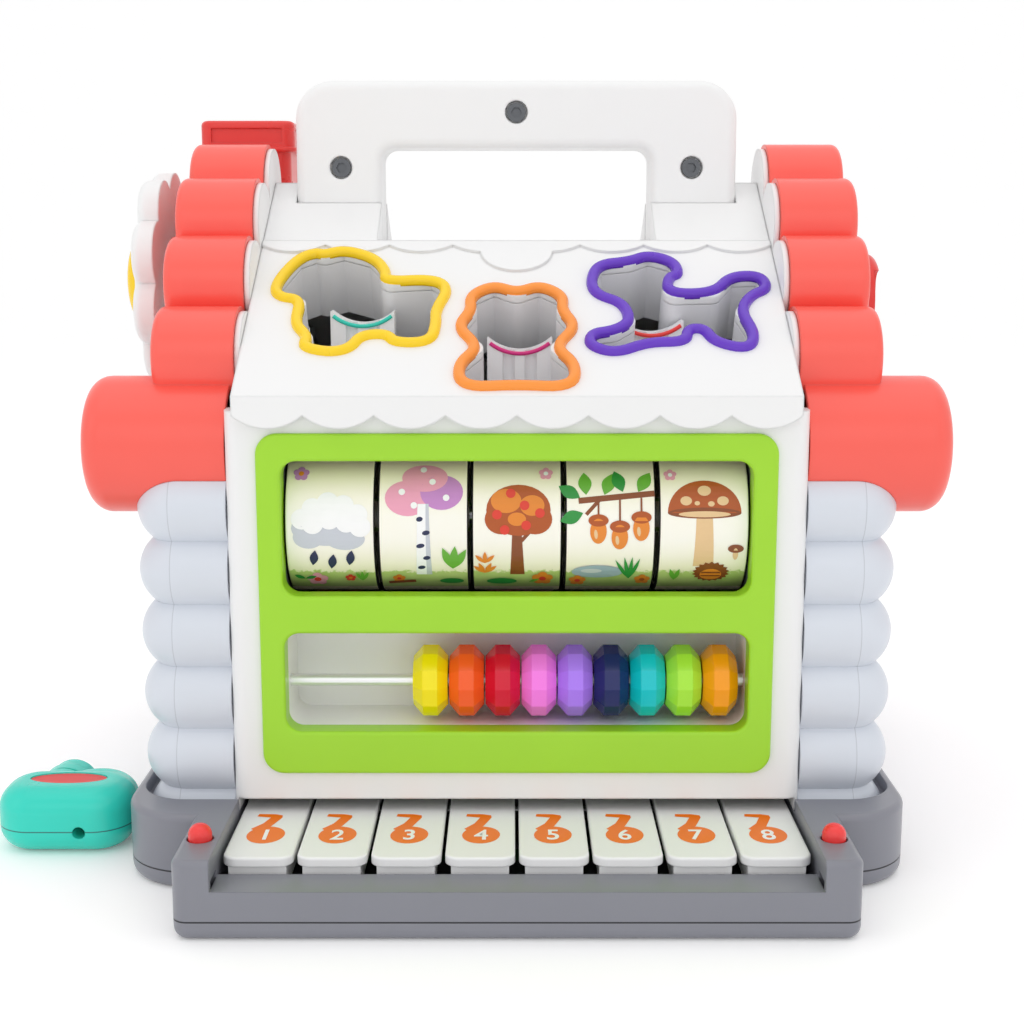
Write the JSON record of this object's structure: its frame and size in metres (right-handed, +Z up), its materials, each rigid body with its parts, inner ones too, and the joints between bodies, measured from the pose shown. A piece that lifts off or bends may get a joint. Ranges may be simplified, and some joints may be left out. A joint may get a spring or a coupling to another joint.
{
  "type": "activity house",
  "caption": "Carry-along toddler activity house with log walls, shape-sorter roof, picture drums, bead abacus, piano keys and a lockable rear door.",
  "frame": {"origin": "on the floor under the middle of the house, on the base's flat underside", "axes": "+Z up, -Y out of the keyboard side, +X to the right seen from the keyboard"},
  "size_m": [0.3248, 0.28, 0.268],
  "materials": {
    "base_grey": "satin moulded",
    "board": "solder mask",
    "rubber": "silicone",
    "speaker": "matt black",
    "dark_steel": "black oxide",
    "steel": "bright",
    "white_shell": "satin moulded",
    "lime": "gloss",
    "pale_grey": "satin moulded",
    "dark_grey": "matt",
    "log_grey": "satin moulded",
    "coral": "satin moulded",
    "brick": "gloss",
    "sun_yellow": "gloss",
    "rim_orange": "gloss",
    "rim_purple": "gloss",
    "button_red": "gloss",
    "teal": "gloss",
    "key_white": "gloss",
    "drum_print": "printed",
    "bead_yellow": "gloss",
    "bead_vermilion": "gloss",
    "bead_crimson": "gloss",
    "bead_pink": "gloss",
    "bead_violet": "gloss",
    "bead_navy": "gloss",
    "bead_teal": "gloss",
    "bead_lime": "gloss",
    "bead_orange": "gloss"
  },
  "bodies": {
    "house": {"base_lower": "base_grey", "base_upper": "base_grey", "battery_cover": "base_grey", "circuit_board": "board", "key_contact_strip": "rubber", "speaker": "speaker", "key_pivot_rod": "steel", "housing_screws": "dark_steel", "abacus_rod": "steel", "drum_axle": "steel", "front_wall": "white_shell", "rear_wall": "white_shell", "roof_front": "white_shell", "roof_rear": "white_shell", "gable_left": "white_shell", "gable_right": "white_shell", "handle_front": "white_shell", "handle_rear": "white_shell", "window_bezel": "lime", "abacus_tray": "pale_grey", "sorter_chutes": "pale_grey", "drum_cover": "dark_grey", "log_wall_left": "log_grey", "log_wall_right": "log_grey", "roof_logs_left": "coral", "roof_logs_right": "coral", "chimney": "brick", "sorter_rim_left": "sun_yellow", "sorter_rim_centre": "rim_orange", "sorter_rim_right": "rim_purple"},
    "piano_key_1": {"piano_key_1": "key_white"},
    "piano_key_2": {"piano_key_2": "key_white"},
    "piano_key_3": {"piano_key_3": "key_white"},
    "piano_key_4": {"piano_key_4": "key_white"},
    "piano_key_5": {"piano_key_5": "key_white"},
    "piano_key_6": {"piano_key_6": "key_white"},
    "piano_key_7": {"piano_key_7": "key_white"},
    "piano_key_8": {"piano_key_8": "key_white"},
    "picture_drum_1": {"picture_drum_1": "drum_print"},
    "picture_drum_2": {"picture_drum_2": "drum_print"},
    "picture_drum_3": {"picture_drum_3": "drum_print"},
    "picture_drum_4": {"picture_drum_4": "drum_print"},
    "picture_drum_5": {"picture_drum_5": "drum_print"},
    "bead_1": {"bead_1": "bead_yellow"},
    "bead_2": {"bead_2": "bead_vermilion"},
    "bead_3": {"bead_3": "bead_crimson"},
    "bead_4": {"bead_4": "bead_pink"},
    "bead_5": {"bead_5": "bead_violet"},
    "bead_6": {"bead_6": "bead_navy"},
    "bead_7": {"bead_7": "bead_teal"},
    "bead_8": {"bead_8": "bead_lime"},
    "bead_9": {"bead_9": "bead_orange"},
    "button_left": {"button_left": "button_red"},
    "button_right": {"button_right": "button_red"},
    "side_knob": {"side_knob": "brick"},
    "rear_door": {"rear_door": "lime"},
    "lock_barrel": {"lock_barrel": "teal"},
    "toy_key": {"toy_key": "teal"},
    "flower": {"flower_petals": "white_shell", "flower_centre": "sun_yellow"}
  },
  "joints": [
    {"name": "key_press_1", "type": "hinge", "parent": "house", "child": "piano_key_1", "pos_m": [-0.08102, -0.082, 0.013], "axis": [1, 0, 0], "range_deg": [0, 3.5], "stiffness_Nm_per_rad": 0.3, "springref_deg": -2.86},
    {"name": "key_press_2", "type": "hinge", "parent": "house", "child": "piano_key_2", "pos_m": [-0.05788, -0.082, 0.013], "axis": [1, 0, 0], "range_deg": [0, 3.5], "stiffness_Nm_per_rad": 0.3, "springref_deg": -2.86},
    {"name": "key_press_3", "type": "hinge", "parent": "house", "child": "piano_key_3", "pos_m": [-0.03472, -0.082, 0.013], "axis": [1, 0, 0], "range_deg": [0, 3.5], "stiffness_Nm_per_rad": 0.3, "springref_deg": -2.86},
    {"name": "key_press_4", "type": "hinge", "parent": "house", "child": "piano_key_4", "pos_m": [-0.01158, -0.082, 0.013], "axis": [1, 0, 0], "range_deg": [0, 3.5], "stiffness_Nm_per_rad": 0.3, "springref_deg": -2.86},
    {"name": "key_press_5", "type": "hinge", "parent": "house", "child": "piano_key_5", "pos_m": [0.01158, -0.082, 0.013], "axis": [1, 0, 0], "range_deg": [0, 3.5], "stiffness_Nm_per_rad": 0.3, "springref_deg": -2.86},
    {"name": "key_press_6", "type": "hinge", "parent": "house", "child": "piano_key_6", "pos_m": [0.03472, -0.082, 0.013], "axis": [1, 0, 0], "range_deg": [0, 3.5], "stiffness_Nm_per_rad": 0.3, "springref_deg": -2.86},
    {"name": "key_press_7", "type": "hinge", "parent": "house", "child": "piano_key_7", "pos_m": [0.05788, -0.082, 0.013], "axis": [1, 0, 0], "range_deg": [0, 3.5], "stiffness_Nm_per_rad": 0.3, "springref_deg": -2.86},
    {"name": "key_press_8", "type": "hinge", "parent": "house", "child": "piano_key_8", "pos_m": [0.08102, -0.082, 0.013], "axis": [1, 0, 0], "range_deg": [0, 3.5], "stiffness_Nm_per_rad": 0.3, "springref_deg": -2.86},
    {"name": "drum_spin_1", "type": "hinge", "parent": "house", "child": "picture_drum_1", "pos_m": [-0.0612, -0.0774, 0.1174], "axis": [1, 0, 0], "continuous": true},
    {"name": "drum_spin_2", "type": "hinge", "parent": "house", "child": "picture_drum_2", "pos_m": [-0.0306, -0.0774, 0.1174], "axis": [1, 0, 0], "continuous": true},
    {"name": "drum_spin_3", "type": "hinge", "parent": "house", "child": "picture_drum_3", "pos_m": [0, -0.0774, 0.1174], "axis": [1, 0, 0], "continuous": true},
    {"name": "drum_spin_4", "type": "hinge", "parent": "house", "child": "picture_drum_4", "pos_m": [0.0306, -0.0774, 0.1174], "axis": [1, 0, 0], "continuous": true},
    {"name": "drum_spin_5", "type": "hinge", "parent": "house", "child": "picture_drum_5", "pos_m": [0.0612, -0.0774, 0.1174], "axis": [1, 0, 0], "continuous": true},
    {"name": "bead_slide_1", "type": "slide", "parent": "house", "child": "bead_1", "axis": [-1, 0, 0], "range_m": [-0.0015, 0.041]},
    {"name": "bead_slide_2", "type": "slide", "parent": "house", "child": "bead_2", "axis": [-1, 0, 0], "range_m": [-0.0015, 0.041]},
    {"name": "bead_slide_3", "type": "slide", "parent": "house", "child": "bead_3", "axis": [-1, 0, 0], "range_m": [-0.0015, 0.041]},
    {"name": "bead_slide_4", "type": "slide", "parent": "house", "child": "bead_4", "axis": [-1, 0, 0], "range_m": [-0.0015, 0.041]},
    {"name": "bead_slide_5", "type": "slide", "parent": "house", "child": "bead_5", "axis": [-1, 0, 0], "range_m": [-0.0015, 0.041]},
    {"name": "bead_slide_6", "type": "slide", "parent": "house", "child": "bead_6", "axis": [-1, 0, 0], "range_m": [-0.0015, 0.041]},
    {"name": "bead_slide_7", "type": "slide", "parent": "house", "child": "bead_7", "axis": [-1, 0, 0], "range_m": [-0.0015, 0.041]},
    {"name": "bead_slide_8", "type": "slide", "parent": "house", "child": "bead_8", "axis": [-1, 0, 0], "range_m": [-0.0015, 0.041]},
    {"name": "bead_slide_9", "type": "slide", "parent": "house", "child": "bead_9", "axis": [-1, 0, 0], "range_m": [-0.0015, 0.041]},
    {"name": "button_press_left", "type": "slide", "parent": "house", "child": "button_left", "axis": [0, 0, -1], "range_m": [0, 0.0022], "stiffness_N_per_m": 300, "springref_m": -0.002},
    {"name": "button_press_right", "type": "slide", "parent": "house", "child": "button_right", "axis": [0, 0, -1], "range_m": [0, 0.0022], "stiffness_N_per_m": 300, "springref_m": -0.002},
    {"name": "flower_spin", "type": "hinge", "parent": "house", "child": "flower", "pos_m": [-0.13, 0, 0.1946], "axis": [1, 0, 0], "continuous": true},
    {"name": "knob_turn", "type": "hinge", "parent": "house", "child": "side_knob", "pos_m": [0.1217, 0, 0.187], "axis": [1, 0, 0], "continuous": true},
    {"name": "door_swing", "type": "hinge", "parent": "house", "child": "rear_door", "pos_m": [-0.052, 0.108, 0.06], "axis": [0, 0, 1], "range_deg": [0, 105]},
    {"name": "lock_turn", "type": "hinge", "parent": "rear_door", "child": "lock_barrel", "pos_m": [0.026, 0.1042, 0.072], "axis": [0, 1, 0], "range_deg": [0, 90]},
    {"name": "toy_key_lift", "type": "slide", "parent": "house", "child": "toy_key", "axis": [0, 0, 1], "range_m": [0, 0.06]}
  ],
  "couplings": [
    {"joint": "bead_slide_2", "follows": "bead_slide_1", "ratio": 1},
    {"joint": "bead_slide_3", "follows": "bead_slide_1", "ratio": 1},
    {"joint": "bead_slide_4", "follows": "bead_slide_1", "ratio": 1},
    {"joint": "bead_slide_5", "follows": "bead_slide_1", "ratio": 1},
    {"joint": "bead_slide_6", "follows": "bead_slide_1", "ratio": 1},
    {"joint": "bead_slide_7", "follows": "bead_slide_1", "ratio": 1},
    {"joint": "bead_slide_8", "follows": "bead_slide_1", "ratio": 1},
    {"joint": "bead_slide_9", "follows": "bead_slide_1", "ratio": 1}
  ]
}
